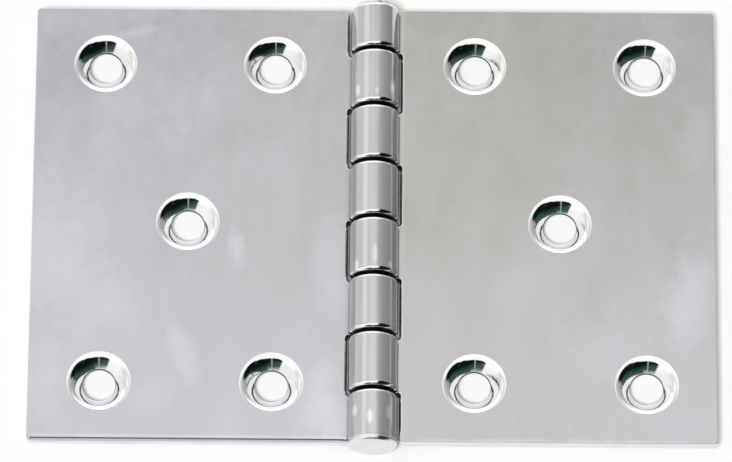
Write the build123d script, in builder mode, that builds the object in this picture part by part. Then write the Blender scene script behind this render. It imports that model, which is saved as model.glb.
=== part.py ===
from build123d import *
import math
import os

# Butt hinge in polished stainless sheet, opened flat with its countersunk faces up.
# Millimetres. X runs across the leaves, Y along the barrel, Z up out of the faces.
# The origin lies under the middle of the barrel, level with the barrel's lowest line.

# Leaves
leaf_length = 68.0          # along the barrel
leaf_reach = 50.0           # from the barrel's axis to a leaf's outer edge
sheet = 2.0                 # thickness of the sheet
corner_radius = 0.6         # corners of the leaf's outline
edge_chamfer = 0.25         # eased edges of the faces

# Barrel and pin
pin_diameter = 3.0
pin_clearance = 0.05        # between the pin and the bore, on the radius
knuckle_count = 8           # both leaves together
end_knuckle = 7.1           # length of the first and the last knuckle
knuckle_gap = 0.35          # between neighbouring knuckles
notch_clearance = 0.2       # between a knuckle and the notch of the other leaf
closed_gap = 0.2            # between the two faces when the hinge is shut
swage_radius = 5.0          # bend that drops the sheet to the underside of the barrel
rim_chamfer = 0.3           # eased ends of the knuckles

# Ends of the pin
head_thickness = 1.0
head_chamfer = 0.25
pin_stub = 1.3              # the plain end that stands out of the barrel
stub_chamfer = 0.4

# Screw holes, countersunk 90 degrees
hole_diameter = 4.8
countersink_diameter = 8.4
countersink_angle = 90.0
lip_chamfer = 0.25          # softened edge of each countersink
outer_hole_inset = 10.3     # outer column of holes to the leaf's outer edge
inner_hole_reach = 14.7     # inner column of holes to the barrel's axis
end_hole_inset = 9.0        # upper and lower row of holes to the leaf's ends

# Sizes that follow
pin_radius = pin_diameter / 2
bore_radius = pin_radius + pin_clearance
knuckle_radius = bore_radius + sheet
axis_height = knuckle_radius
face_drop = closed_gap / 2
face_height = axis_height - face_drop
notch_edge = knuckle_radius + notch_clearance
hole_spacing_x = leaf_reach - outer_hole_inset - inner_hole_reach
hole_spacing_y = leaf_length - 2 * end_hole_inset
pattern_x = inner_hole_reach + hole_spacing_x / 2
inner_knuckle = (leaf_length - 2 * end_knuckle - (knuckle_count - 1) * knuckle_gap) / (knuckle_count - 2)
notch_cut = 3 * knuckle_radius      # reaches past the curl on the far side of the barrel
same_place = 0.01                   # closest that two different edges come to each other

# The swage is a reverse bend. Its centre lies below the sheet, where the bend is
# tangent to the sheet on one side and to the rolled knuckle on the other.
swage_outer = swage_radius + sheet
swage_drop = face_drop + swage_outer
swage_x = math.sqrt((bore_radius + swage_outer) ** 2 - swage_drop ** 2)
swage_turn = math.degrees(math.atan2(swage_x, swage_drop))
curl_turn = 270 + swage_turn

# The leaf's section is drawn on the end of the barrel, about its axis.
barrel_end = Plane(origin=(0, leaf_length / 2, axis_height), x_dir=(1, 0, 0), z_dir=(0, -1, 0))
pin_section = Plane(origin=(0, 0, axis_height), x_dir=(0, 1, 0), z_dir=(1, 0, 0))


def knuckle_ends():
    """Lower and upper end of every knuckle along Y, from the top one down."""
    ends = []
    top = leaf_length / 2
    for number in range(knuckle_count):
        outermost = number in (0, knuckle_count - 1)
        length = end_knuckle if outermost else inner_knuckle
        ends.append((top - length, top))
        top -= length + knuckle_gap
    return ends


def notches():
    """Lower and upper end of every notch that a leaf leaves for the other one's knuckles."""
    mine = knuckle_ends()[0::2]
    uppers = [low for low, high in mine]
    lowers = [high for low, high in mine[1:]] + [-leaf_length]
    return list(zip(lowers, uppers))


def at_an_end(edge):
    """True for an edge on the leaf's upper or lower end."""
    return abs(edge.center().Y) > leaf_length / 2 - corner_radius


def on_notch(edge):
    """True for an edge along the bottom of a notch."""
    return math.isclose(edge.center().X, notch_edge, abs_tol=same_place)


with BuildPart() as right_leaf:
    # The sheet, the swage and the curl are one bent strip.
    with BuildSketch(barrel_end):
        with BuildLine():
            swage_centre = (swage_x, -swage_drop)
            CenterArc((0, 0), knuckle_radius, 0, curl_turn)
            CenterArc(swage_centre, swage_radius, 90 + swage_turn, -swage_turn)
            Polyline(
                (swage_x, -face_drop - sheet),
                (leaf_reach, -face_drop - sheet),
                (leaf_reach, -face_drop),
                (swage_x, -face_drop),
            )
            CenterArc(swage_centre, swage_outer, 90, swage_turn)
            CenterArc((0, 0), bore_radius, curl_turn, -curl_turn)
            Line((bore_radius, 0), (knuckle_radius, 0))
        make_face()
    extrude(amount=leaf_length)

    # Notches for the knuckles of the other leaf.
    with BuildSketch():
        for low, high in notches():
            with Locations((notch_edge, (low + high) / 2)):
                Rectangle(notch_cut, high - low, align=(Align.MAX, Align.CENTER))
    extrude(amount=2 * knuckle_radius, mode=Mode.SUBTRACT)

    # Corners of the outline.
    fillet(right_leaf.edges().filter_by(Axis.Z).filter_by(at_an_end), corner_radius)

    # Four screw holes in a rectangle and one in its middle.
    with Locations((pattern_x, 0, face_height)):
        with GridLocations(hole_spacing_x, hole_spacing_y, 2, 2):
            CounterSinkHole(hole_diameter / 2, countersink_diameter / 2, sheet, countersink_angle)
        CounterSinkHole(hole_diameter / 2, countersink_diameter / 2, sheet, countersink_angle)

    # Eased edges: the countersinks' lips, the knuckles' ends with the back's outline
    # that runs on from them, the face's outline and the notches' upper edges.
    circles = right_leaf.edges().filter_by(GeomType.CIRCLE)
    chamfer(circles.filter_by(lambda e: math.isclose(e.radius, countersink_diameter / 2)), lip_chamfer)
    circles = right_leaf.edges().filter_by(GeomType.CIRCLE)
    chamfer(circles.filter_by(lambda e: math.isclose(e.radius, knuckle_radius)), rim_chamfer)
    at_face = (face_height - same_place, face_height + same_place)
    face_edges = right_leaf.edges().filter_by_position(Axis.Z, *at_face)
    chamfer(face_edges.filter_by(at_an_end), edge_chamfer)
    notch_edges = right_leaf.edges().filter_by(Axis.Y).filter_by(on_notch)
    chamfer(notch_edges.group_by(Axis.Z)[-1], edge_chamfer)

right_leaf.part.label = "right_leaf"

with BuildPart() as left_leaf:
    # The same pressing, turned half round about Z.
    add(right_leaf.part.rotate(Axis.Z, 180))
left_leaf.part.label = "left_leaf"

with BuildPart() as pin:
    # Half of the pin's section, turned about the barrel's axis. The head lies flat
    # against the lowest knuckle, and the plain end stands out of the highest one.
    with BuildSketch(pin_section):
        with BuildLine():
            Polyline(
                (-leaf_length / 2 - head_thickness, 0),
                (-leaf_length / 2 - head_thickness, knuckle_radius),
                (-leaf_length / 2, knuckle_radius),
                (-leaf_length / 2, pin_radius),
                (leaf_length / 2 + pin_stub, pin_radius),
                (leaf_length / 2 + pin_stub, 0),
                close=True,
            )
        make_face()
    revolve(axis=Axis((0, 0, axis_height), (0, 1, 0)))
    chamfer(pin.edges().filter_by(GeomType.CIRCLE).group_by(Axis.Y)[0], head_chamfer)
    chamfer(pin.edges().filter_by(GeomType.CIRCLE).group_by(Axis.Y)[-1], stub_chamfer)
pin.part.label = "pin"

os.makedirs("parts", exist_ok=True)
export_step(right_leaf.part, "parts/right_leaf.step")
export_step(left_leaf.part, "parts/left_leaf.step")
export_step(pin.part, "parts/pin.step")
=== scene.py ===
"""The looks of a butt hinge in polished stainless sheet, built around its solids.

The scene is in metres, and the sizes named below are millimetres. X runs across the leaves,
Y along the barrel and Z up out of the countersunk faces.
"""
import math

import bmesh
import bpy
from mathutils import Matrix, Vector
from mathutils.geometry import delaunay_2d_cdt


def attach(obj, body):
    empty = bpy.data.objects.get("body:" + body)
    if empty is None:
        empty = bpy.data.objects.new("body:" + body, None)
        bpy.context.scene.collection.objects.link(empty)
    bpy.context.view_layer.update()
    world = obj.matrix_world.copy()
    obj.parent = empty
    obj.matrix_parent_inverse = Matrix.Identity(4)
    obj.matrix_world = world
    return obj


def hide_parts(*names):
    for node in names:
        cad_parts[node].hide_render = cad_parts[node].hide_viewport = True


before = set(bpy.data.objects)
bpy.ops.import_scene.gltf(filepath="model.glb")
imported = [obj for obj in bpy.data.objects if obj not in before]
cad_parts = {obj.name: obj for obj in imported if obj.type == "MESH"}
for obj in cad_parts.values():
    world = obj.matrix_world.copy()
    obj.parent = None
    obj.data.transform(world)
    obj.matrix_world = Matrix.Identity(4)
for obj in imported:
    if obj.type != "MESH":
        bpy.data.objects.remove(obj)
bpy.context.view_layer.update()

MM = 0.001

# Sizes of the pressing and the pin, the same as the solids'.
LEAF_LENGTH = 68.0          # along the barrel
LEAF_REACH = 50.0           # from the barrel's axis to the outer edge
SHEET = 2.0                 # thickness
BORE_RADIUS = 1.55          # inside of a curl
KNUCKLE_RADIUS = 3.55       # outside of it
SWAGE_RADIUS = 5.0          # inside of the reverse bend beside the barrel
FACE_DROP = 0.1             # the faces lie this far under the barrel's axis
NOTCH_EDGE = 3.75           # from the axis to a notch's edge on the face
KNUCKLE_COUNT = 8
END_KNUCKLE = 7.1           # length of the first and the last knuckle
KNUCKLE_GAP = 0.35
CORNER_RADIUS = 0.6
HOLE_RADIUS = 2.4
HOLE_COLUMNS = (14.7, 39.7) # from the axis
HOLE_ROW = 25.0             # from the middle of the leaf's length
CENTRE_HOLE = 27.2          # from the axis
PIN_RADIUS = 1.5
HEAD_THICKNESS = 1.0
PIN_STUB = 1.3              # how far the plain end stands out of the top knuckle

# Roundings that polishing leaves on the edges.
FACE_ROUND = 0.18           # the leaf's outline, face side
WORN_ROUND = 0.85           # the left leaf's lower end, face side, worn by the wheel
NOTCH_ROUND = 0.42          # a notch's edge, face side
BACK_ROUND = 0.3            # the leaf's outline, back side
RIM_ROUND = 0.7             # ends of the knuckles, outside
BORE_ROUND = 0.15           # ends of the knuckles, inside
LIP_RADIUS = 4.65           # where a countersink's rounded edge leaves the face
LIP_ROUND = 1.5             # edge of a countersink
CONE_SLOPE = 42.0           # degrees that the countersink falls under its lip
THROAT_SLOPE = 48.0         # degrees that it falls above the throat
THROAT_ROUND = 0.45         # where it turns down into the short bore
LAND_ROUND = 0.08           # edge of that bore on the leaf's back
TIGHT_RIM = 0.06            # rounding where the last knuckle meets the pin's head
TIP_CORNER = 0.65           # corners of a curl's tip, in the sheet's plane
NOTCH_CORNER = 0.25         # inner corners of a notch
HEAD_ROUND = 0.7            # outer edge of the pin's head
STUB_ROUND = 0.4            # the pin's plain end

# How the meshes are divided.
HEAD_RINGS = (1.2, 2.4)     # rings on the flat of the pin's head
HEAD_SEAT = 0.3             # from the shank to the ring under the head
SHANK_FILLET = 0.05         # where the shank meets the head
ROUND_STEPS = 7             # rings in a rounded edge
POLISHED_RINGS = 4          # of those on a knuckle's end, seen from outside
TIGHT_STEPS = 3             # rings in a very small rounding
CORNER_STEPS = 6            # sides of a rounded corner
LIP_STEPS = 9               # rings in a countersink's rounded edge
CONE_STEPS = 6              # rings in its slope
HOLE_STEPS = 96             # sides of a hole
PIN_STEPS = 96              # sides of the pin
PLATE_STEP = 2.0            # grid on the flat of a leaf
BEND_STEP = 5.0             # degrees between grid lines on a bend
FINGER_STEPS = 5            # grid lines along a knuckle
GRID_MARGIN = 0.5           # grid points keep this far from a rounded edge
NOTCH_MARGIN = 0.28         # and this far from the bottom of a notch
LEAST_STEP = 0.05           # the outline's points keep this far from its corners

# Sizes that follow. The blank is the sheet laid flat.
AXIS_HEIGHT = KNUCKLE_RADIUS
HALF_LENGTH = LEAF_LENGTH / 2
FACE_STRIPS = 2 * ROUND_STEPS - 2   # strips of an edge's rounding under the ones at the face
WORN_STRIPS = ROUND_STEPS + 2       # the same where the end is worn
SWAGE_OUTER = SWAGE_RADIUS + SHEET
SWAGE_DROP = FACE_DROP + SWAGE_OUTER
SWAGE_X = math.sqrt((BORE_RADIUS + SWAGE_OUTER) ** 2 - SWAGE_DROP ** 2)
SWAGE_TURN = math.atan2(SWAGE_X, SWAGE_DROP)
SWAGE_MIDDLE = SWAGE_RADIUS + SHEET / 2
CURL_MIDDLE = BORE_RADIUS + SHEET / 2
CURL_START = 1.5 * math.pi + SWAGE_TURN
SWAGE_LENGTH = SWAGE_MIDDLE * SWAGE_TURN
BLANK_OUTER = LEAF_REACH - SWAGE_X
BLANK_TIP = -(SWAGE_LENGTH + CURL_MIDDLE * CURL_START)
BLANK_NOTCH = -SWAGE_MIDDLE * math.asin((SWAGE_X - NOTCH_EDGE) / SWAGE_OUTER)

FILL_INSIDE = 1             # the triangulation keeps only what lies inside the outline
SAME_POINT = 1e-6           # and joins points that are this close

# Materials' places in a leaf's slots, and in the pin's. The fourth of a leaf's and the pin's second are
# painted shade.
PLATE, SINK, BARREL, GAP_SHADE, EDGE = 0, 1, 2, 3, 4
TURNED, SHANK = 0, 1


# The shapes

def quarter(steps):
    """Cosine and sine at even steps of a quarter turn."""
    turns = [math.pi / 2 * step / steps for step in range(steps + 1)]
    return [(math.cos(turn), math.sin(turn)) for turn in turns]


def knuckle_ends():
    """Lower and upper end of every knuckle along Y, from the top one down."""
    gaps = (KNUCKLE_COUNT - 1) * KNUCKLE_GAP
    inner = (LEAF_LENGTH - 2 * END_KNUCKLE - gaps) / (KNUCKLE_COUNT - 2)
    ends = []
    top = HALF_LENGTH
    for number in range(KNUCKLE_COUNT):
        length = END_KNUCKLE if number in (0, KNUCKLE_COUNT - 1) else inner
        ends.append((top - length, top))
        top -= length + KNUCKLE_GAP
    return ends


def bend(s, y, t):
    """Where a point of the flat blank lies once the sheet is swaged and curled, and how far the
    sheet has turned there. s runs along the blank, 0 where the swage begins and less towards
    the curl's tip. t is the height over the sheet's back."""
    if s >= 0:
        return Vector((SWAGE_X + s, y, AXIS_HEIGHT - FACE_DROP - SHEET + t)), 0.0
    if s >= -SWAGE_LENGTH:
        turn = -s / SWAGE_MIDDLE
        radius = SWAGE_RADIUS + t
        x, z = SWAGE_X - radius * math.sin(turn), radius * math.cos(turn) - SWAGE_DROP
        return Vector((x, y, AXIS_HEIGHT + z)), turn
    angle = CURL_START + (s + SWAGE_LENGTH) / CURL_MIDDLE
    radius = BORE_RADIUS + SHEET - t
    x, z = radius * math.cos(angle), radius * math.sin(angle)
    return Vector((x, y, AXIS_HEIGHT + z)), angle + math.pi / 2


def turned(normal, turn):
    """A normal of the flat blank, turned with the sheet."""
    s, y, t = normal
    cos, sin = math.cos(turn), math.sin(turn)
    return Vector((s * cos - t * sin, y, s * sin + t * cos)).normalized()


def bend_lines():
    """The grid lines across the bends, from the curl's tip to the swage's start."""
    step = CURL_MIDDLE * math.radians(BEND_STEP)
    count = math.ceil((-SWAGE_LENGTH - BLANK_TIP) / step)
    lines = [BLANK_TIP + (-SWAGE_LENGTH - BLANK_TIP) * n / count for n in range(count + 1)]
    count = math.ceil(math.degrees(SWAGE_TURN) / BEND_STEP)
    return lines + [-SWAGE_LENGTH * (1 - (n + 1) / count) for n in range(count)]


def plate_lines(low, high):
    """Evenly spaced grid lines over a stretch of the flat."""
    count = max(1, round((high - low) / PLATE_STEP))
    return [low + (high - low) * n / count for n in range(count + 1)]


def in_notch(s, y):
    """True for a point of the outline that faces a knuckle of the other leaf."""
    return BLANK_NOTCH - TIP_CORNER < s < 0 and abs(y) < HALF_LENGTH - CORNER_RADIUS


def at_worn_end(y, worn):
    """True on the outline's worn end. worn is the side of the blank that it is on, -1 or 1, or 0
    for a leaf that has none."""
    return y * worn > HALF_LENGTH - CORNER_RADIUS


def edge_rounds(s, y, along, rim, worn):
    """Rounding of the outline's face side and back side. along is True on an edge that runs
    along the blank, where the rounding grows from the leaf's to the knuckle's own, rim. worn is
    the side of the worn end, as at_worn_end has it."""
    if not along:
        if s < BLANK_TIP + TIP_CORNER:
            return BORE_ROUND, BACK_ROUND
        return (NOTCH_ROUND if in_notch(s, y) else FACE_ROUND), BACK_ROUND
    share = min(1.0, max(0.0, -s / SWAGE_LENGTH))
    plain = FACE_ROUND if abs(y) > HALF_LENGTH - CORNER_RADIUS else NOTCH_ROUND
    plain = WORN_ROUND if at_worn_end(y, worn) else plain
    face = plain + (BORE_ROUND - plain) * share
    return face, BACK_ROUND + (rim - BACK_ROUND) * share


def blank_corners(knuckles):
    """Corners of the blank's outline, anticlockwise, each with the radius it is rounded to."""
    corners = [(BLANK_OUTER, -HALF_LENGTH, CORNER_RADIUS), (BLANK_OUTER, HALF_LENGTH, CORNER_RADIUS)]
    for low, high in knuckles:
        if high < HALF_LENGTH:
            corners.append((BLANK_NOTCH, high, NOTCH_CORNER))
        corners += [(BLANK_TIP, high, TIP_CORNER), (BLANK_TIP, low, TIP_CORNER)]
        corners.append((BLANK_NOTCH, low, NOTCH_CORNER))
    corners.append((BLANK_NOTCH, -HALF_LENGTH, CORNER_RADIUS))
    return corners


def corner_points(corner, come, leave, rim, worn):
    """A rounded corner of the outline, between the directions in which it is reached and left."""
    s, y, radius = corner
    side = 1 if come.cross(leave) > 0 else -1
    start, end = Vector((come.y, -come.x)), Vector((leave.y, -leave.x))
    centre = Vector((s, y)) - (start + end) * radius * side
    rounds_in = edge_rounds(s, y, abs(come.x) > abs(come.y), rim, worn)
    rounds_out = edge_rounds(s, y, abs(leave.x) > abs(leave.y), rim, worn)
    points = []
    for step, (cos, sin) in enumerate(quarter(CORNER_STEPS)):
        share = step / CORNER_STEPS
        normal = (start * cos + end * sin).normalized()
        place = centre + normal * radius * side
        rounds = [a + (b - a) * share for a, b in zip(rounds_in, rounds_out)]
        points.append((place.x, place.y, normal.x, normal.y, *rounds))
    return points


def straight_points(corner, after, leave, rim, worn):
    """The outline's straight run from a corner to the next one."""
    a = Vector(corner[:2]) + leave * corner[2]
    b = Vector(after[:2]) - leave * after[2]
    length = (b - a).length
    along = abs(leave.x) > abs(leave.y)
    if along:
        lines = bend_lines() + plate_lines(0, BLANK_OUTER)[1:]
        stops = sorted(abs(line - a.x) for line in lines if min(a.x, b.x) < line < max(a.x, b.x))
    else:
        count = max(FINGER_STEPS, round(length / PLATE_STEP))
        stops = [length * n / count for n in range(1, count)]
    points = []
    for stop in stops:
        if LEAST_STEP < stop < length - LEAST_STEP:
            place = a + leave * stop
            rounds = edge_rounds(place.x, place.y, along, rim, worn)
            points.append((place.x, place.y, leave.y, -leave.x, *rounds))
    return points


def blank_outline(knuckles, end_rim, worn):
    """The outline as (s, y, normal's s, normal's y, face rounding, back rounding), anticlockwise.
    end_rim is the rounding of the knuckle end that is level with the leaf's own end."""
    corners = blank_corners(knuckles)
    points = []
    for number, corner in enumerate(corners):
        before, after = corners[number - 1], corners[(number + 1) % len(corners)]
        come = Vector((corner[0] - before[0], corner[1] - before[1])).normalized()
        leave = Vector((after[0] - corner[0], after[1] - corner[1])).normalized()
        rim = end_rim if corner[1] == HALF_LENGTH else RIM_ROUND
        points += corner_points(corner, come, leave, rim, worn)
        points += straight_points(corner, after, leave, rim, worn)
    return points


def hole_profile():
    """A screw hole from the face to the back: (radius, height, normal outwards, normal up).
    A broad polished lip, a slope that steepens, a rounded throat and a short bore."""
    profile = []
    cone, steep = math.radians(CONE_SLOPE), math.radians(THROAT_SLOPE)
    for step in range(LIP_STEPS + 1):
        turn = cone * step / LIP_STEPS
        profile.append((LIP_RADIUS - LIP_ROUND * math.sin(turn), SHEET - LIP_ROUND * (1 - math.cos(turn)),
                        -math.sin(turn), math.cos(turn)))
    radius, height = profile[-1][:2]
    width = (radius - HOLE_RADIUS - THROAT_ROUND * (1 - math.sin(steep))) / CONE_STEPS
    slope = cone
    for step in range(CONE_STEPS):
        turn = cone + (steep - cone) * (step + 1) / CONE_STEPS
        radius -= width
        height -= width * (math.tan(slope) + math.tan(turn)) / 2
        profile.append((radius, height, -math.sin(turn), math.cos(turn)))
        slope = turn
    for step in range(1, ROUND_STEPS + 1):
        turn = steep + (math.pi / 2 - steep) * step / ROUND_STEPS
        profile.append((HOLE_RADIUS + THROAT_ROUND * (1 - math.sin(turn)),
                        height - THROAT_ROUND * (math.cos(steep) - math.cos(turn)),
                        -math.sin(turn), math.cos(turn)))
    return profile + [(HOLE_RADIUS + LAND_ROUND * (1 - cos), LAND_ROUND * (1 - sin), -cos, -sin)
                      for cos, sin in quarter(TIGHT_STEPS)]


def hole_centres():
    """Centres of a leaf's screw holes on the blank."""
    rows = [(x, y) for x in HOLE_COLUMNS for y in (-HOLE_ROW, HOLE_ROW)]
    return [(x - SWAGE_X, y) for x, y in rows + [(CENTRE_HOLE, 0.0)]]


def grid_points(knuckles, centres, clear):
    """Points inside the outline that keep the bends round and the flats even."""
    bends = bend_lines()
    points = []
    inset = RIM_ROUND + GRID_MARGIN
    for low, high in knuckles:
        for s in bends:
            if BLANK_TIP + inset < s < BLANK_NOTCH:
                points += [(s, low + inset + (high - low - 2 * inset) * n / FINGER_STEPS)
                           for n in range(FINGER_STEPS + 1)]
    rows = plate_lines(-HALF_LENGTH, HALF_LENGTH)[1:-1]
    columns = [s for s in bends if s > BLANK_NOTCH + NOTCH_MARGIN]
    columns += plate_lines(0, BLANK_OUTER)[1:-1]
    for s in columns:
        for y in rows:
            if all(math.hypot(s - a, y - b) > clear + GRID_MARGIN for a, b in centres):
                points.append((s, y))
    return points


class Pressing:
    """Gathers the vertices, normals and faces of one leaf on the blank and bends them."""

    def __init__(self):
        self.blank, self.normals, self.faces, self.kinds = [], [], [], []

    def ring(self, points):
        """Adds (s, y, t, normal) points and gives their numbers."""
        first = len(self.blank)
        for s, y, t, normal in points:
            self.blank.append((s, y, t))
            self.normals.append(normal)
        return list(range(first, len(self.blank)))

    def strip(self, a, b, kinds):
        """Faces between two closed rings of as many points, each with its own material."""
        for n in range(len(a)):
            m = (n + 1) % len(a)
            self.faces.append((a[n], a[m], b[m], b[n]))
            self.kinds.append(kinds[n])

    def fill(self, outer, holes, centres, radius, t, up, knuckles):
        """Fills the flat between an outline's last ring and the holes' rings. radius is theirs, t
        the flat's height over the sheet's back, and up is 1 on the face and -1 on the back."""
        inner = self.ring([(s, y, t, (0, 0, up)) for s, y in grid_points(knuckles, centres, radius)])
        used = outer + [n for hole in holes for n in hole] + inner
        place = {n: k for k, n in enumerate(used)}
        points = [Vector(self.blank[n][:2]) for n in used]
        edges = [(place[a], place[b]) for hole in holes for a, b in zip(hole, hole[1:] + hole[:1])]
        made = delaunay_2d_cdt(points, edges, [[place[n] for n in outer]], FILL_INSIDE, SAME_POINT)
        triangles, sources = made[2:4]
        for triangle in triangles:
            numbers = [used[sources[k][0]] for k in triangle]
            middle = sum((Vector(self.blank[n][:2]) for n in numbers), Vector((0, 0))) / len(numbers)
            if any((middle - Vector(c)).length < radius for c in centres):
                continue
            self.faces.append(tuple(numbers))
            self.kinds.append(BARREL if middle.x < -SWAGE_LENGTH / 2 else PLATE)

    def mesh(self, name, half_turn):
        """The bent sheet as a mesh, turned half round about Z for the left leaf."""
        places, normals = [], []
        for (s, y, t), normal in zip(self.blank, self.normals):
            point, turn = bend(s, y, t)
            facing = turned(normal, turn)
            if half_turn:
                point, facing = (Vector((-v.x, -v.y, v.z)) for v in (point, facing))
            places.append(point * MM)
            normals.append(facing)
        return smooth_mesh(name, places, self.faces, normals, self.kinds)


def smooth_mesh(name, places, faces, normals, kinds):
    """A mesh whose shading follows the given normals."""
    mesh = bpy.data.meshes.new(name)
    mesh.from_pydata(places, [], faces)
    mesh.polygons.foreach_set("material_index", kinds)
    made = bmesh.new()
    made.from_mesh(mesh)
    bmesh.ops.recalc_face_normals(made, faces=made.faces)
    for face in made.faces:
        face.smooth = True
    made.to_mesh(mesh)
    made.free()
    mesh.normals_split_custom_set_from_vertices([tuple(n) for n in normals])
    return mesh


def edge_kind(s, y, number, worn):
    """Material of the outline's strip of that number, counted from the back. Strips in the gaps between the
    knuckles and down the notches' walls take the painted shade."""
    if s < -SWAGE_LENGTH:
        if number == 0:
            return BARREL
        return SINK if number < POLISHED_RINGS else GAP_SHADE
    if in_notch(s, y):
        return GAP_SHADE if number < FACE_STRIPS else EDGE
    bright = WORN_STRIPS if at_worn_end(y, worn) else FACE_STRIPS
    return EDGE if POLISHED_RINGS <= number < bright else PLATE


def edge_ring(outline, cos, sin, on_face):
    """One ring of the outline's rounding on the face or the back, as (s, y, t, normal). cos and sin
    are those of the normal's turn away from the edge."""
    points = []
    for s, y, a, b, face, back in outline:
        size = face if on_face else back
        s, y, depth = s - a * size * (1 - cos), y - b * size * (1 - cos), size * (1 - sin)
        if on_face:
            points.append((s, y, SHEET - depth, (a * cos, b * cos, sin)))
        else:
            points.append((s, y, depth, (a * cos, b * cos, -sin)))
    return points


def screw_hole(leaf, centre, profile):
    """One screw hole on the blank, and its rings on the face and on the back."""
    turns = [2 * math.pi * n / HOLE_STEPS for n in range(HOLE_STEPS)]
    rings = []
    for radius, height, out, up in profile:
        rings.append(leaf.ring([(centre[0] + radius * math.cos(a), centre[1] + radius * math.sin(a), height,
                                 (out * math.cos(a), out * math.sin(a), up)) for a in turns]))
    for number, (above, below) in enumerate(zip(rings, rings[1:])):
        # The throat and the short bore take the painted shade.
        kind = SINK if number < LIP_STEPS + CONE_STEPS + 1 else GAP_SHADE
        leaf.strip(above, below, [kind] * HOLE_STEPS)
    return rings[0], rings[-1]


def pressing(knuckles, end_rim, worn):
    """One leaf with its rounded outline, screw holes and knuckles, on the blank."""
    leaf = Pressing()
    outline = blank_outline(knuckles, end_rim, worn)
    steps = quarter(ROUND_STEPS)
    rings = [leaf.ring(edge_ring(outline, cos, sin, on_face=False)) for cos, sin in reversed(steps)]
    rings += [leaf.ring(edge_ring(outline, cos, sin, on_face=True)) for cos, sin in steps]
    for number, (below, above) in enumerate(zip(rings, rings[1:])):
        leaf.strip(below, above, [edge_kind(point[0], point[1], number, worn) for point in outline])
    centres, profile = hole_centres(), hole_profile()
    tops, bottoms = zip(*[screw_hole(leaf, centre, profile) for centre in centres])
    leaf.fill(rings[-1], tops, centres, profile[0][0], SHEET, 1, knuckles)
    leaf.fill(rings[0], bottoms, centres, profile[-1][0], 0.0, -1, knuckles)
    return leaf


def pin_profile():
    """The pin from the middle of its head to its plain end, as (radius, place along Y, normal
    outwards, normal along Y, material of the band that begins there)."""
    end, stub = -HALF_LENGTH - HEAD_THICKNESS, HALF_LENGTH + PIN_STUB
    profile = [(radius, end, 0, -1, TURNED) for radius in (0.0, *HEAD_RINGS)]
    profile += [(KNUCKLE_RADIUS - HEAD_ROUND * (1 - sin), end + HEAD_ROUND * (1 - cos), sin, -cos, TURNED)
                for cos, sin in quarter(ROUND_STEPS)]
    profile += [(KNUCKLE_RADIUS - TIGHT_RIM * (1 - cos), -HALF_LENGTH - TIGHT_RIM * (1 - sin), cos, sin,
                 TURNED) for cos, sin in quarter(TIGHT_STEPS)]
    profile += [(PIN_RADIUS + HEAD_SEAT, -HALF_LENGTH, 0, 1, SHANK),
                (PIN_RADIUS + SHANK_FILLET, -HALF_LENGTH, 0, 1, SHANK),
                (PIN_RADIUS, -HALF_LENGTH + SHANK_FILLET, 1, 0, SHANK),
                (PIN_RADIUS, HALF_LENGTH, 1, 0, TURNED)]
    profile += [(PIN_RADIUS - STUB_ROUND * (1 - cos), stub - STUB_ROUND * (1 - sin), cos, sin, TURNED)
                for cos, sin in quarter(ROUND_STEPS)]
    return profile + [(0.0, stub, 0, 1, TURNED)]


def pin_mesh(name):
    """The pin: a flat round head with its edge rounded, the shank and the plain end."""
    profile = pin_profile()
    places, normals, faces, kinds, starts = [], [], [], [], []
    for radius, y, out, along, _ in profile:
        starts.append(len(places))
        for n in range(PIN_STEPS if radius > 0 else 1):
            a = 2 * math.pi * n / PIN_STEPS
            places.append(Vector((radius * math.sin(a), y, AXIS_HEIGHT + radius * math.cos(a))) * MM)
            normals.append(Vector((out * math.sin(a), along, out * math.cos(a))))
    for row, (radius, *_, kind) in enumerate(profile[:-1]):
        a, b = starts[row], starts[row + 1]
        for n in range(PIN_STEPS):
            m = (n + 1) % PIN_STEPS
            if radius == 0:
                faces.append((a, b + n, b + m))
            elif profile[row + 1][0] == 0:
                faces.append((a + n, b, a + m))
            else:
                faces.append((a + n, b + n, b + m, a + m))
            kinds.append(kind)
    return smooth_mesh(name, places, faces, normals, kinds)


# Node helpers

NOISE_MIDDLE = (0.35, 0.65)     # where most of a noise's values lie
NOISE_RANGE = (0.3, 0.7)        # and nearly all of them


def node(tree, kind, **values):
    """A new node with values on its sockets."""
    made = tree.nodes.new(kind)
    for name, value in values.items():
        made.inputs[name].default_value = value
    return made


def join(tree, source, target):
    """Links an output to an input."""
    tree.links.new(source, target)


def maths(tree, operation, a, b=None):
    """A Math node on sockets or numbers, and its output."""
    made = tree.nodes.new("ShaderNodeMath")
    made.operation = operation
    for socket, value in zip(made.inputs, (a, b)):
        if isinstance(value, (int, float)):
            socket.default_value = value
        elif value is not None:
            join(tree, value, socket)
    return made.outputs[0]


def times(tree, a, b):
    """The product of two sockets or numbers."""
    return maths(tree, "MULTIPLY", a, b)


def weighted(tree, *parts):
    """The sum of values, each given with its weight."""
    total = 0.0
    for value, weight in parts:
        total = maths(tree, "ADD", total, times(tree, value, weight))
    return total


def mapped(tree, value, low, high, to_low=0.0, to_high=1.0, smooth=False):
    """A Map Range node's output."""
    made = tree.nodes.new("ShaderNodeMapRange")
    made.interpolation_type = "SMOOTHSTEP" if smooth else "LINEAR"
    for name, number in (("From Min", low), ("From Max", high), ("To Min", to_low), ("To Max", to_high)):
        made.inputs[name].default_value = number
    join(tree, value, made.inputs["Value"])
    return made.outputs["Result"]


def rising(tree, value, start, full):
    """0 up to start and 1 from full on, smooth between. full may be the lower of the two."""
    return mapped(tree, value, start, full, smooth=True)


def coordinates(tree, vector):
    """The X, Y and Z of a vector."""
    split = tree.nodes.new("ShaderNodeSeparateXYZ")
    join(tree, vector, split.inputs[0])
    return split.outputs


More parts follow.
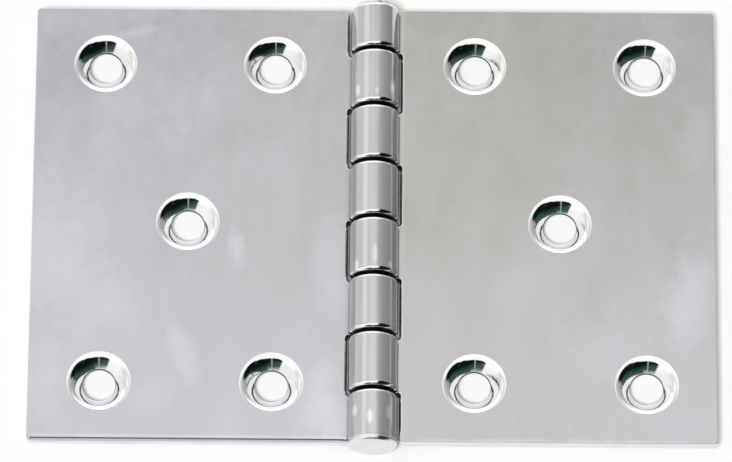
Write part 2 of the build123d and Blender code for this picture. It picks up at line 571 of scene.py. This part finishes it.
def noise(tree, place, scale, detail=3.0, stretch=(1.0, 1.0, 1.0), roughness=0.5, turn=0.0):
    """Noise over the part's own coordinates, in cells per metre, and its value. turn slants a
    stretched noise about Z, in radians."""
    spread = node(tree, "ShaderNodeMapping", Scale=stretch, Rotation=(0.0, 0.0, turn))
    join(tree, place, spread.inputs["Vector"])
    made = node(tree, "ShaderNodeTexNoise", Scale=scale, Detail=detail, Roughness=roughness)
    join(tree, spread.outputs[0], made.inputs["Vector"])
    return made.outputs["Fac"]


def contrasted(tree, value):
    """The middle of a noise's range, spread over 0 to 1."""
    return mapped(tree, value, *NOISE_MIDDLE)


def blended(tree, share, a, b, kind="MIX"):
    """A Mix node on two colours, and its output."""
    made = tree.nodes.new("ShaderNodeMix")
    made.data_type = "RGBA"
    made.blend_type = kind
    for socket, value in ((made.inputs[0], share), (made.inputs[6], a), (made.inputs[7], b)):
        if isinstance(value, (int, float)):
            socket.default_value = value
        elif isinstance(value, tuple):
            socket.default_value = (*value, 1.0)
        else:
            join(tree, value, socket)
    return made.outputs[2]


def bump(tree, height, distance, strength, below=None):
    """A Bump node's normal, on top of the one in below."""
    made = node(tree, "ShaderNodeBump", Strength=strength, Distance=distance)
    join(tree, height, made.inputs["Height"])
    if below is not None:
        join(tree, below, made.inputs["Normal"])
    return made.outputs[0]


def new_material(name):
    """An empty metal material: its tree, its shader and the part's coordinates."""
    material = bpy.data.materials.new(name)
    material.use_nodes = True
    tree = material.node_tree
    shader = tree.nodes["Principled BSDF"]
    shader.inputs["Metallic"].default_value = 1.0
    place = tree.nodes.new("ShaderNodeTexCoord").outputs["Object"]
    return material, tree, shader, place


# Materials

# Tones of the two plates: at the barrel and at the far edge, at the lower end and at the upper. They are
# painted reflection: its tint, lilac on the left and warm on the right, and its slow change of brightness.
RIGHT_TONES = ((0.566, 0.559, 0.550), (0.580, 0.575, 0.585), (0.555, 0.543, 0.512), (0.556, 0.543, 0.528))
LEFT_TONES = ((0.612, 0.605, 0.640), (0.614, 0.610, 0.648), (0.588, 0.586, 0.590), (0.598, 0.596, 0.628))

TONE_INNER, TONE_OUTER = 6.0, 46.0      # where the tones at the barrel and at the far edge hold
TONE_LOWER, TONE_UPPER = -30.0, 12.0    # where the lower and the upper ones do
CLOUD_DARK, CLOUD_LIGHT = (0.935, 0.93, 0.915), (1.055, 1.05, 1.085)    # both multiply the tones
CLOUD_RANGE = (0.38, 0.62)              # the mixed noises' values, from dark to light
PLATE_ROUGHNESS = (0.14, 0.22)
SMUDGE_ROUGHNESS = 0.06                 # what a smudge adds to that
SATIN_FACING = (0.12, 0.5)              # from a square look to a slanting one
SATIN_ROUGHNESS = (0.0, 0.42)           # and what that adds
SMUDGE_AND_SHEEN_TONE = (0.71, 0.705, 0.755)
SMUDGE_RAGGED = 1.7                     # how much a noise moves a smudge's edge
SMUDGE_EDGE = (2.0, 1.0)                # where it begins and is full, in its own half sizes

# Smudges that the polish left, and painted highlights: centre and half sizes, slant in degrees, strength.
LEFT_SMUDGES = (
    ((-46.0, -5.0), (9.0, 14.0), 10, 0.75),
    ((-40.0, -13.0), (6.0, 7.0), -25, 0.6),
    ((-47.0, -24.0), (5.0, 9.0), 0, 0.5),
    ((-6.6, -6.0), (3.2, 9.0), 0, 0.5),
    ((-7.0, -29.0), (4.2, 9.0), 0, 1.0),
    ((-20.0, -4.0), (1.5, 3.8), 4, 0.9),
    ((-27.6, -20.5), (2.2, 6.5), 18, 0.7),
    ((-31.0, -27.0), (4.0, 5.0), -20, 0.4),
    ((-36.0, 30.0), (5.0, 1.0), 12, 0.5),
    ((-24.0, 22.0), (9.0, 4.0), 25, 0.2),
)
RIGHT_SMUDGES_AND_SHEEN = (
    ((45.6, -12.5), (4.4, 9.5), -4, 0.8),
    ((47.0, 14.0), (3.0, 7.0), 0, 0.25),
    ((34.0, -20.0), (9.0, 8.0), 20, 0.35),
    # These two paint the highlight along the leaf's lower end.
    ((16.0, -34.0), (15.0, 0.8), 0, 1.0),
    ((37.0, -34.2), (15.0, 0.9), 0, 1.0),
    ((20.0, -10.0), (5.0, 4.0), 30, 0.25),
)

# Painted highlights: white dabs for the glints of lamps on three knuckles, in the same form.
PAINTED_BARREL_GLINTS = (
    ((-2.5, 20.0), (0.3, 0.8), 0, 1.0),
    ((2.5, 20.5), (0.25, 0.9), 0, 1.0),
    ((0.3, 19.6), (0.25, 0.5), 0, 0.6),
    ((-2.5, -7.6), (0.3, 0.6), 0, 1.0),
    ((2.4, -7.6), (0.25, 0.6), 0, 1.0),
    ((0.2, -6.2), (0.3, 1.3), 0, 0.7),
    ((-2.6, -30.2), (0.35, 0.7), 0, 1.0),
    ((2.3, -30.4), (0.3, 0.9), 0, 1.0),
    ((-0.4, -31.4), (0.35, 0.9), 0, 1.0),
)
PAINTED_GLINT_TONE = (0.92, 0.92, 0.91)
GLINT_EDGE = 0.4                        # in place of the noise that moves a smudge's edge
GLINT_RISE = 0.5                        # height over the barrel's axis where they are full
BARREL_TONES = ((0.60, 0.60, 0.58), (0.68, 0.67, 0.68))
BARREL_ROUGHNESS = (0.13, 0.22)

# Painted shade in flecks on a knuckle's foot, where it stands in the other leaf's notch.
FOOT_SHADE_TONE = (0.08, 0.095, 0.09)
FOOT_ROUGHNESS = 0.2                    # what it adds to the barrel's
FLECK_RANGE, FLECK_SHARES = (0.38, 0.56), (0.6, 0.9)    # a noise's values, and the flecks' tone
FOOT_DROP = 0.5                         # the middle of the foot, below the barrel's axis
FOOT_FULL, FOOT_END = 0.8, 1.6          # above and below that, to its full tone and to its end
FOOT_BEGINS, FOOT_BEYOND = 1.0, 2.0     # beside the axis, from none to its full tone


def smudge(tree, place, ragged, centre, halves, slant, strength):
    """An oval patch, with its edge moved inwards by ragged, a noise or a number."""
    spread = node(tree, "ShaderNodeMapping", Location=(centre[0] * MM, centre[1] * MM, 0.0),
                  Rotation=(0.0, 0.0, math.radians(slant)), Scale=(halves[0] * MM, halves[1] * MM, 1.0))
    spread.vector_type = "TEXTURE"
    join(tree, place, spread.inputs["Vector"])
    reach = tree.nodes.new("ShaderNodeVectorMath")
    reach.operation = "LENGTH"
    join(tree, spread.outputs[0], reach.inputs[0])
    edge = maths(tree, "ADD", reach.outputs["Value"], ragged)
    return times(tree, rising(tree, edge, *SMUDGE_EDGE), strength)


def patches(tree, place, ragged, smudges_and_sheen):
    """The strongest of several patches at each point."""
    marks = 0.0
    for values in smudges_and_sheen:
        marks = maths(tree, "MAXIMUM", marks, smudge(tree, place, ragged, *values))
    return marks


def painted_plate_tone(tree, place, tones, side):
    """The plate's slow change of tone, from the barrel outwards and from end to end, painted in after its
    reflections.
    """
    x, y, _ = coordinates(tree, place)
    across = rising(tree, times(tree, x, side), TONE_INNER * MM, TONE_OUTER * MM)
    along = rising(tree, y, TONE_LOWER * MM, TONE_UPPER * MM)
    lower = blended(tree, across, tones[0], tones[1])
    upper = blended(tree, across, tones[2], tones[3])
    return blended(tree, along, lower, upper)


def polished_plate(name, tones, side, smudges_and_sheen):
    """Hand-buffed sheet in tones painted after its reflections, under cloudy smudges, painted highlights,
    wipe marks and fine scratches. side is 1 or -1, the side of the barrel that the plate lies on."""
    material, tree, shader, place = new_material(name)
    cloud = noise(tree, place, scale=55.0, detail=5.0, stretch=(1.0, 0.8, 1.0), roughness=0.62)
    wipe = noise(tree, place, scale=90.0, detail=4.0, stretch=(1.9, 0.45, 1.0), roughness=0.6, turn=0.5)
    grain = noise(tree, place, scale=420.0, roughness=0.6)
    shade = mapped(tree, weighted(tree, (cloud, 0.5), (wipe, 0.3), (grain, 0.2)), *CLOUD_RANGE)
    shade = blended(tree, shade, CLOUD_DARK, CLOUD_LIGHT)
    colour = blended(tree, 1.0, painted_plate_tone(tree, place, tones, side), shade, "MULTIPLY")
    ragged = times(tree, noise(tree, place, scale=160.0, detail=5.0, roughness=0.7), SMUDGE_RAGGED)
    marks = patches(tree, place, ragged, smudges_and_sheen)
    join(tree, blended(tree, marks, colour, SMUDGE_AND_SHEEN_TONE), shader.inputs["Base Color"])
    # Seen along the sheet, the fine scratches turn the mirror into satin.
    weight = node(tree, "ShaderNodeLayerWeight", Blend=0.5)
    satin = mapped(tree, weight.outputs["Facing"], *SATIN_FACING, *SATIN_ROUGHNESS)
    rough = mapped(tree, weighted(tree, (cloud, 0.5), (grain, 0.5)), *NOISE_MIDDLE, *PLATE_ROUGHNESS)
    rough = weighted(tree, (rough, 1.0), (marks, SMUDGE_ROUGHNESS), (satin, 1.0))
    join(tree, rough, shader.inputs["Roughness"])
    waves = bump(tree, noise(tree, place, scale=70.0, detail=1.0), distance=0.0004, strength=0.12)
    scratches = noise(tree, place, scale=900.0, detail=2.0, stretch=(1.0, 0.08, 1.0), turn=0.35)
    join(tree, bump(tree, scratches, distance=0.00002, strength=0.25, below=waves), shader.inputs["Normal"])
    return material


def plain_metal(name, cloud, tones, roughness, marks, relief):
    """A metal whose tone and roughness follow one noise, under fine marks from another. Both
    noises are given by their values, and relief is the marks' depth in metres and strength."""
    material, tree, shader, place = new_material(name)
    shade = noise(tree, place, **cloud)
    join(tree, blended(tree, contrasted(tree, shade), *tones), shader.inputs["Base Color"])
    join(tree, mapped(tree, shade, *NOISE_RANGE, *roughness), shader.inputs["Roughness"])
    join(tree, bump(tree, noise(tree, place, **marks), *relief), shader.inputs["Normal"])
    return material


def bright_edge():
    """The leaf's outer edges, polished by the wheel, in a tone lighter than the plates' that paints in part
    of their highlights, with fine lines along the sheet.
    """
    lines = {"scale": 3000.0, "stretch": (0.03, 0.03, 1.0), "roughness": 0.6}
    tones = (0.70, 0.70, 0.69), (0.90, 0.90, 0.89)
    return plain_metal("bright_edge", lines, tones, (0.18, 0.28), lines, (0.00002, 0.6))


def painted_shade_steel():
    """Painted shade: sheared and bored steel between the knuckles, in the notches and in the bores, near
    black as the shade that falls there.
    """
    cloud, pits = {"scale": 900.0, "detail": 4.0}, {"scale": 2500.0, "detail": 2.0}
    tones = (0.07, 0.085, 0.08), (0.15, 0.165, 0.155)
    return plain_metal("painted_shade_steel", cloud, tones, (0.35, 0.55), pits, (0.00004, 0.5))


def turned_sink():
    """The countersinks and the knuckles' rims: turned metal with fine marks, in a tone lighter than the
    plates' that paints in part of their white highlights.
    """
    cloud, marks = {"scale": 300.0}, {"scale": 1100.0, "detail": 2.0, "stretch": (1.0, 1.0, 3.0)}
    tones = (0.81, 0.81, 0.80), (0.90, 0.90, 0.89)
    return plain_metal("turned_countersink", cloud, tones, (0.05, 0.1), marks, (0.00002, 0.2))


def pin_steel():
    """The pin: satin turned face with a slightly brighter tone."""
    cloud, marks = {"scale": 400.0, "detail": 4.0}, {"scale": 1500.0}
    tones = (0.76, 0.755, 0.77), (0.83, 0.825, 0.845)
    return plain_metal("pin_steel", cloud, tones, (0.2, 0.32), marks, (0.00002, 0.3))


def shaded_foot(tree, place, side):
    """Painted shade in flecks on a knuckle's foot, on the side away from its own leaf."""
    x, _, z = coordinates(tree, place)
    height = maths(tree, "ABSOLUTE", maths(tree, "SUBTRACT", z, (AXIS_HEIGHT - FOOT_DROP) * MM))
    foot_shade = rising(tree, height, FOOT_END * MM, FOOT_FULL * MM)
    away = mapped(tree, times(tree, x, -side), FOOT_BEGINS * MM, FOOT_BEYOND * MM)
    flecks = mapped(tree, noise(tree, place, scale=800.0, detail=2.0), *FLECK_RANGE, *FLECK_SHARES)
    return times(tree, times(tree, foot_shade, away), flecks)


def buffed_barrel(name, side):
    """The knuckles: buffed along their length, with faint lines along the barrel. side is 1 or
    -1, the side on which they run on into their own leaf."""
    material, tree, shader, place = new_material(name)
    lines = noise(tree, place, scale=700.0, stretch=(1.0, 0.04, 1.0))
    cloud = noise(tree, place, scale=150.0, stretch=(1.0, 0.5, 1.0))
    tone = contrasted(tree, weighted(tree, (lines, 0.5), (cloud, 0.5)))
    colour = blended(tree, tone, *BARREL_TONES)
    # Painted highlights, kept to the knuckles' upper side.
    height = coordinates(tree, place)[2]
    above = mapped(tree, height, AXIS_HEIGHT * MM, (AXIS_HEIGHT + GLINT_RISE) * MM)
    painted_glints = times(tree, patches(tree, place, GLINT_EDGE, PAINTED_BARREL_GLINTS), above)
    colour = blended(tree, painted_glints, colour, PAINTED_GLINT_TONE)
    # Painted shade on the foot, beside the other leaf's notch.
    foot_shade = shaded_foot(tree, place, side)
    join(tree, blended(tree, foot_shade, colour, FOOT_SHADE_TONE), shader.inputs["Base Color"])
    rough = mapped(tree, cloud, *NOISE_RANGE, *BARREL_ROUGHNESS)
    join(tree, weighted(tree, (rough, 1.0), (foot_shade, FOOT_ROUGHNESS)), shader.inputs["Roughness"])
    join(tree, bump(tree, lines, distance=0.00003, strength=0.4), shader.inputs["Normal"])
    return material


# Dressing the frame

sink_steel, gap_shade_steel, edge_steel = turned_sink(), painted_shade_steel(), bright_edge()
for side, half_turn, end_rim, worn, tones, smudges_and_sheen in (
        ("right", False, RIM_ROUND, 0, RIGHT_TONES, RIGHT_SMUDGES_AND_SHEEN),
        ("left", True, TIGHT_RIM, 1, LEFT_TONES, LEFT_SMUDGES)):
    name = side + "_pressing"
    shape = pressing(knuckle_ends()[0::2], end_rim, worn)
    piece = bpy.data.objects.new(name, shape.mesh(name, half_turn))
    bpy.context.scene.collection.objects.link(piece)
    leaf_side = -1 if half_turn else 1
    plate_steel = polished_plate(side + "_plate", tones, leaf_side, smudges_and_sheen)
    barrel_steel = buffed_barrel(side + "_knuckles", leaf_side)
    for material in (plate_steel, sink_steel, barrel_steel, gap_shade_steel, edge_steel):
        piece.data.materials.append(material)
    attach(piece, side)
    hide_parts(side + "_leaf")
turned_pin = bpy.data.objects.new("turned_pin", pin_mesh("turned_pin"))
bpy.context.scene.collection.objects.link(turned_pin)
turned_pin.data.materials.append(pin_steel())
# The shank takes the same painted shade.
turned_pin.data.materials.append(gap_shade_steel)
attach(turned_pin, "left")
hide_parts("pin")


# The stage

FLOOR_HALF = 1.5            # in metres
FLOOR_PAINT = (0.93, 0.93, 0.93, 1.0)
GLOW_SEEN = 0.06            # share of glow in what the camera sees of the floor
GLOW_REFLECTED = 0.75       # and in what metal reflects of it
SHADE_ACROSS = (4.5, 5.5)   # from the barrel's axis, where the dark floor under it fades out
SHADE_ALONG = (33.0, 34.0)  # and from the barrel's middle
CAMERA_TILT = math.radians(22.03)
CAMERA_ROLL = math.radians(-0.46)
FOCAL_PIXELS = 7000.0
PIXELS_PER_MM = 6.844
IMAGE_WIDTH = 732
AIM_PIXELS = (7.94, -7.73)  # the face over the origin, right of and below the image's centre
SENSOR = 36.0
CLIP_NEAR, CLIP_FAR = 0.05, 20.0    # in metres
LAMP_FROM = (-0.142, -0.418, 0.897)
LAMP_ANGLE = 16.0           # degrees across its light, which soften its shadows
LAMP_STRENGTH = 2.25

# Colours of the sky for the floor, and of the room that metal reflects.
AMBIENT = (0.42, 0.42, 0.42)
WHITE = (1.0, 1.0, 1.0)
WALL_BEHIND, WALL_LEFT = (1.25, 1.25, 1.25), (1.05, 1.05, 1.05)
BAND_GREEN, BAND_BLACK = (0.045, 0.1, 0.075), (0.003, 0.008, 0.006)
STAND_GREY = (0.6, 0.6, 0.58)
OVERHEAD_LIGHT = (1.15, 1.15, 1.15)

# Round patches of that room: the direction they lie in, and the degrees around it to which they
# are full and at which they end.
BAND_AHEAD = ((0.1, -0.97, 0.2), 44, 48)
BAND_RIGHT = ((0.9, -0.3, 0.1), 30, 38)
OVERHEAD = ((0.0, -0.17, 0.985), 28, 38)
SHOULDERS = (((0.72, -0.12, 0.68), 20, 26), ((0.48, -0.52, 0.71), 8, 14))
# Two soft lights and a grey spot, each with its colour.
ROOM_LIGHTS = (
    (((-0.45, -0.45, 0.77), 18, 32), (1.3, 1.3, 1.3)),
    (((-0.62, 0.37, 0.69), 5, 14), (1.12, 1.12, 1.1)),
    (((0.0, 0.47, 0.88), 3, 9), (0.42, 0.43, 0.44)),
)

# The room's other parts are placed by the X, Y and Z of a direction. Each begins at the first
# number of its pair and is full from the second one on.
ROOM_X, ROOM_GREYS = (-0.15, 0.95), (0.84, 0.34)        # the walls' grey, from left to right
BEHIND_Y, BEHIND_X = (0.52, 0.62), (0.6, 0.2)           # a white wall behind
LEFT_Y, LEFT_X = (0.1, -0.3), (-0.4, -0.7)              # another at the front and left
BAND_X = (-0.56, -0.50)                                 # the dark band's left end
BLACK_Z, BLACK_SLANT = (0.33, 0.44), 0.15               # its black, which is lower on the right
STAND_X, STAND_ASIDE, STAND_Y = -0.03, (0.05, 0.02), (-0.5, -0.6)      # a lamp stand in it
STAND_SHARE = 0.6                                       # how much of that shows
HORIZON_Z, HORIZON_Y = (0.33, 0.2), (0.32, 0.2)         # the white horizon
HORIZON_X, HORIZON_DROP = (0.2, 0.5), 0.3               # which is lower on the right


def floor_glow(tree):
    """The share of glow in the floor's look. The floor under the barrel has none, which paints a deeper
    shade there for the slots beside the barrel to look down on."""
    seen = tree.nodes.new("ShaderNodeLightPath")
    share = weighted(tree, (seen.outputs["Is Camera Ray"], GLOW_SEEN),
                     (seen.outputs["Is Glossy Ray"], GLOW_REFLECTED))
    x, y, _ = coordinates(tree, tree.nodes.new("ShaderNodeTexCoord").outputs["Object"])
    beside = mapped(tree, maths(tree, "ABSOLUTE", x), SHADE_ACROSS[0] * MM, SHADE_ACROSS[1] * MM)
    beyond = mapped(tree, maths(tree, "ABSOLUTE", y), SHADE_ALONG[0] * MM, SHADE_ALONG[1] * MM)
    return times(tree, share, maths(tree, "MAXIMUM", beside, beyond))


def make_floor():
    """A pale floor that keeps the part's shadow."""
    mesh = bpy.data.meshes.new("floor")
    h = FLOOR_HALF
    mesh.from_pydata([(-h, -h, 0), (h, -h, 0), (h, h, 0), (-h, h, 0)], [], [(0, 1, 2, 3)])
    floor = bpy.data.objects.new("floor", mesh)
    bpy.context.scene.collection.objects.link(floor)
    material = bpy.data.materials.new("pale_floor")
    material.use_nodes = True
    tree = material.node_tree
    tree.nodes.remove(tree.nodes["Principled BSDF"])
    paint = node(tree, "ShaderNodeBsdfDiffuse", Color=FLOOR_PAINT)
    glow = node(tree, "ShaderNodeEmission", Strength=1.0)
    mixed = tree.nodes.new("ShaderNodeMixShader")
    join(tree, floor_glow(tree), mixed.inputs[0])
    join(tree, paint.outputs[0], mixed.inputs[1])
    join(tree, glow.outputs[0], mixed.inputs[2])
    join(tree, mixed.outputs[0], tree.nodes["Material Output"].inputs["Surface"])
    mesh.materials.append(material)


def make_camera():
    """Looks at the faces from the barrel's lower end, tilted off square by CAMERA_TILT."""
    right, up = Vector((1, 0, 0)), Vector((0, math.cos(CAMERA_TILT), math.sin(CAMERA_TILT)))
    back = Vector((0, -math.sin(CAMERA_TILT), math.cos(CAMERA_TILT)))
    cos, sin = math.cos(CAMERA_ROLL), math.sin(CAMERA_ROLL)
    right, up = right * cos - up * sin, right * sin + up * cos
    face = Vector((0, 0, AXIS_HEIGHT - FACE_DROP))
    aim = face - right * (AIM_PIXELS[0] / PIXELS_PER_MM) + up * (AIM_PIXELS[1] / PIXELS_PER_MM)
    place = aim + back * (FOCAL_PIXELS / PIXELS_PER_MM)
    camera = bpy.data.objects.new("camera", bpy.data.cameras.new("camera"))
    bpy.context.scene.collection.objects.link(camera)
    turn = Matrix((right, up, back)).transposed().to_4x4()
    camera.matrix_world = Matrix.Translation(place * MM) @ turn
    camera.data.sensor_width = SENSOR
    camera.data.lens = FOCAL_PIXELS / IMAGE_WIDTH * SENSOR
    camera.data.clip_start, camera.data.clip_end = CLIP_NEAR, CLIP_FAR
    bpy.context.scene.camera = camera


def make_world():
    """White for the camera, plain light for the floor, and a studio for what metal reflects."""
    world = bpy.data.worlds.new("studio")
    world.use_nodes = True
    bpy.context.scene.world = world
    tree = world.node_tree
    tree.nodes.clear()
    ray = tree.nodes.new("ShaderNodeLightPath")
    direction = tree.nodes.new("ShaderNodeTexCoord").outputs["Generated"]
    studio = reflected_studio(tree, direction)
    plain = blended(tree, ray.outputs["Is Camera Ray"], AMBIENT, WHITE)
    shown = blended(tree, ray.outputs["Is Glossy Ray"], plain, studio)
    sky = tree.nodes.new("ShaderNodeBackground")
    join(tree, shown, sky.inputs["Color"])
    out = tree.nodes.new("ShaderNodeOutputWorld")
    join(tree, sky.outputs[0], out.inputs["Surface"])


def lobe(tree, direction, towards, inner, outer):
    """1 within inner degrees of a direction and 0 beyond outer degrees, smooth between."""
    dot = tree.nodes.new("ShaderNodeVectorMath")
    dot.operation = "DOT_PRODUCT"
    join(tree, direction, dot.inputs[0])
    dot.inputs[1].default_value = Vector(towards).normalized()
    return rising(tree, dot.outputs["Value"], math.cos(math.radians(outer)), math.cos(math.radians(inner)))


def pale_room(tree, direction):
    """A grey room that dims towards the right, with two white walls and its lights."""
    x, y, _ = coordinates(tree, direction)
    grey = tree.nodes.new("ShaderNodeCombineColor")
    shade = mapped(tree, x, *ROOM_X, *ROOM_GREYS)
    for socket in grey.inputs[:3]:
        join(tree, shade, socket)
    behind = times(tree, rising(tree, y, *BEHIND_Y), rising(tree, x, *BEHIND_X))
    left = times(tree, rising(tree, y, *LEFT_Y), rising(tree, x, *LEFT_X))
    colour = blended(tree, behind, grey.outputs[0], WALL_BEHIND)
    colour = blended(tree, left, colour, WALL_LEFT)
    for patch, light in ROOM_LIGHTS:
        colour = blended(tree, lobe(tree, direction, *patch), colour, light)
    return colour


def dark_band(tree, direction, room):
    """The room with a dark band from straight ahead round to the right, black over green, and
    one lamp stand in it."""
    x, y, z = coordinates(tree, direction)
    ahead = times(tree, lobe(tree, direction, *BAND_AHEAD), rising(tree, x, *BAND_X))
    height = maths(tree, "ADD", z, times(tree, x, BLACK_SLANT))
    band = blended(tree, mapped(tree, height, *BLACK_Z), BAND_GREEN, BAND_BLACK)
    aside = maths(tree, "ABSOLUTE", maths(tree, "SUBTRACT", x, STAND_X))
    stand = times(tree, mapped(tree, aside, *STAND_ASIDE), mapped(tree, y, *STAND_Y))
    band = blended(tree, times(tree, stand, STAND_SHARE), band, STAND_GREY)
    return blended(tree, maths(tree, "MAXIMUM", ahead, lobe(tree, direction, *BAND_RIGHT)), room, band)


def pale_horizon(tree, direction, room):
    """The room with a white horizon everywhere but behind, lower on the right."""
    x, y, z = coordinates(tree, direction)
    raised = maths(tree, "ADD", z, times(tree, rising(tree, x, *HORIZON_X), HORIZON_DROP))
    horizon = times(tree, rising(tree, raised, *HORIZON_Z), rising(tree, y, *HORIZON_Y))
    return blended(tree, horizon, room, WHITE)


def reflected_studio(tree, direction):
    """What polished metal sees: a pale room with a dark band over a white horizon, a soft light
    overhead, and the band's black shoulder high on the right."""
    colour = dark_band(tree, direction, pale_room(tree, direction))
    colour = pale_horizon(tree, direction, colour)
    colour = blended(tree, lobe(tree, direction, *OVERHEAD), colour, OVERHEAD_LIGHT)
    shoulder = maths(tree, "MAXIMUM", *[lobe(tree, direction, *patch) for patch in SHOULDERS])
    return blended(tree, shoulder, colour, BAND_BLACK)


def make_lamp(name, towards, angle, strength):
    """An even light from one direction, with soft shadows, unseen in reflections."""
    lamp = bpy.data.objects.new(name, bpy.data.lights.new(name, "SUN"))
    lamp.data.angle = math.radians(angle)
    lamp.data.energy = strength
    lamp.location = towards
    lamp.rotation_euler = (-Vector(towards)).to_track_quat("-Z", "Y").to_euler()
    lamp.visible_glossy = False
    bpy.context.scene.collection.objects.link(lamp)


make_floor()
make_camera()
make_world()
make_lamp("soft_front", LAMP_FROM, LAMP_ANGLE, LAMP_STRENGTH)
bpy.context.scene.view_settings.view_transform = "Standard"
